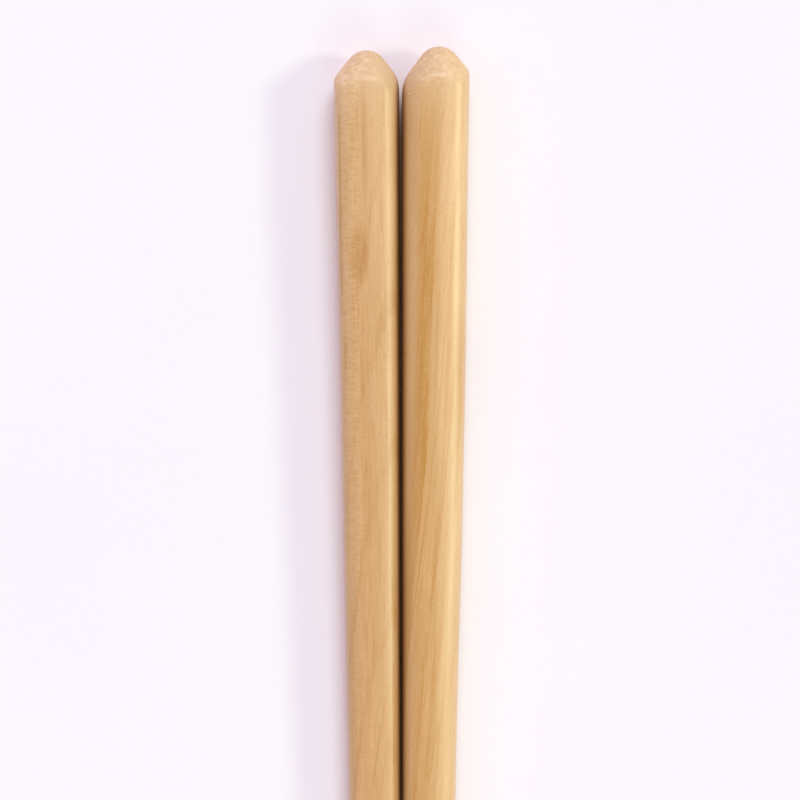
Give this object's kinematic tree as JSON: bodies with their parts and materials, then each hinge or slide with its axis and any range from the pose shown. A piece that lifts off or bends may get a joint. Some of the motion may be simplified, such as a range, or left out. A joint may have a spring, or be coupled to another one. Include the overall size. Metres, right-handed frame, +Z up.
{
  "type": "pair of wooden chopsticks",
  "caption": "Square tapered wooden chopsticks with softly bevelled edges and domed heads, lying side by side, for picking up food.",
  "frame": {"origin": "on the table, in the middle of the pair's outline seen from above", "axes": "+Z up from the table, +Y along the sticks towards their heads, +X from the left stick to the right stick"},
  "size_m": [0.0154, 0.2254, 0.0077],
  "materials": {
    "left_wood": "pale straight-grained wood, clear satin finish",
    "right_wood": "pale straight-grained wood, clear satin finish"
  },
  "bodies": {
    "root": {"left_chopstick": "left_wood", "right_chopstick": "right_wood"}
  },
  "joints": []
}
